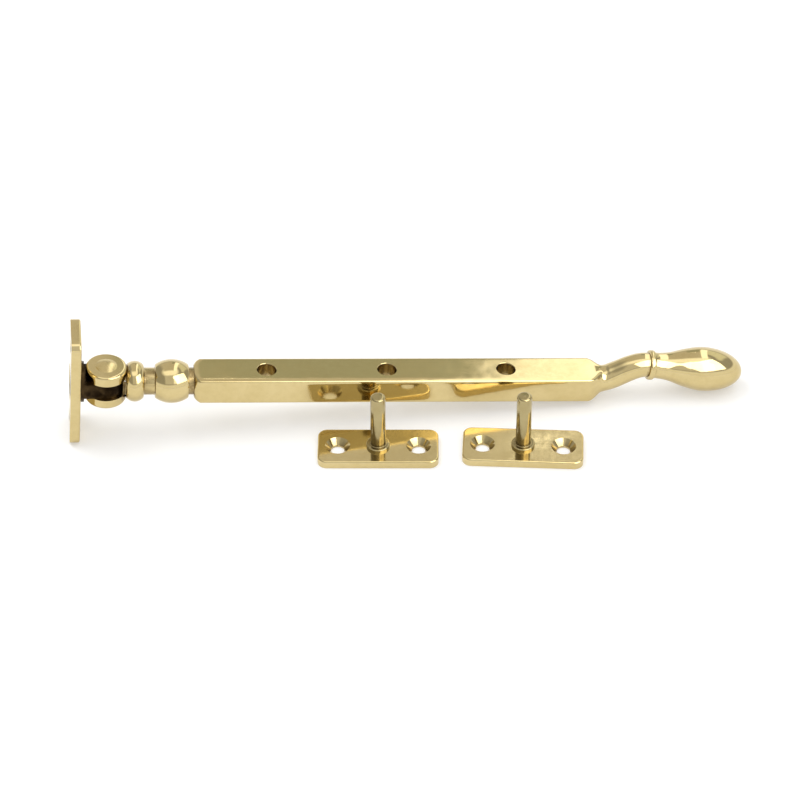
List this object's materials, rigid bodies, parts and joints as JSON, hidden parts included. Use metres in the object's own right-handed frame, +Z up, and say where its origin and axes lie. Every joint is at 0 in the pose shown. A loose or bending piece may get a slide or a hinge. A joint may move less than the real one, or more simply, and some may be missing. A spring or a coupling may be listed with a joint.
{
  "type": "casement window stay",
  "caption": "Bulb-end casement stay: a drilled bar hinged to a swivelling backplate drops over a peg to hold a window open; comes with loose peg plates.",
  "frame": {"origin": "centre of the backplate's fixing face, midway between its two screw holes", "axes": "+X from the backplate towards the bulb, level; +Z up, square to the surface that the set lies on and along the loose pegs; the arm slopes down towards +X by about 5 degrees"},
  "size_m": [0.2156, 0.0436, 0.0401],
  "materials": {
    "backplate_brass": "polished and lacquered",
    "swivel_brass": "turned, lightly polished",
    "washer_brass": "plain stamped",
    "rivet_brass": "polished",
    "arm_brass": "polished and lacquered",
    "peg_plate_brass": "polished and lacquered",
    "peg_brass": "turned and polished"
  },
  "bodies": {
    "arm": {"stay_arm": "arm_brass", "pivot_rivet": "rivet_brass"},
    "swivel": {"swivel": "swivel_brass", "swivel_washer": "washer_brass"},
    "backplate": {"backplate": "backplate_brass"},
    "left_peg_set": {"left_peg_plate": "peg_plate_brass", "left_peg": "peg_brass"},
    "right_peg_set": {"right_peg_plate": "peg_plate_brass", "right_peg": "peg_brass"}
  },
  "joints": [
    {"name": "arm_swing", "type": "hinge", "parent": "arm", "child": "swivel", "pos_m": [0.01116, 0, -0.00095], "axis": [0.0846, 0, 0.9964], "range_deg": [-90, 90]},
    {"name": "swivel_turn", "type": "hinge", "parent": "swivel", "child": "backplate", "pos_m": [0, 0, 0], "axis": [0.9964, 0, -0.0846], "continuous": true},
    {"name": "left_peg_slide", "type": "slide", "parent": "arm", "child": "left_peg_set", "axis": [0, -1, 0], "range_m": [0, 0.06]},
    {"name": "right_peg_slide", "type": "slide", "parent": "arm", "child": "right_peg_set", "axis": [0, -1, 0], "range_m": [0, 0.06]}
  ]
}
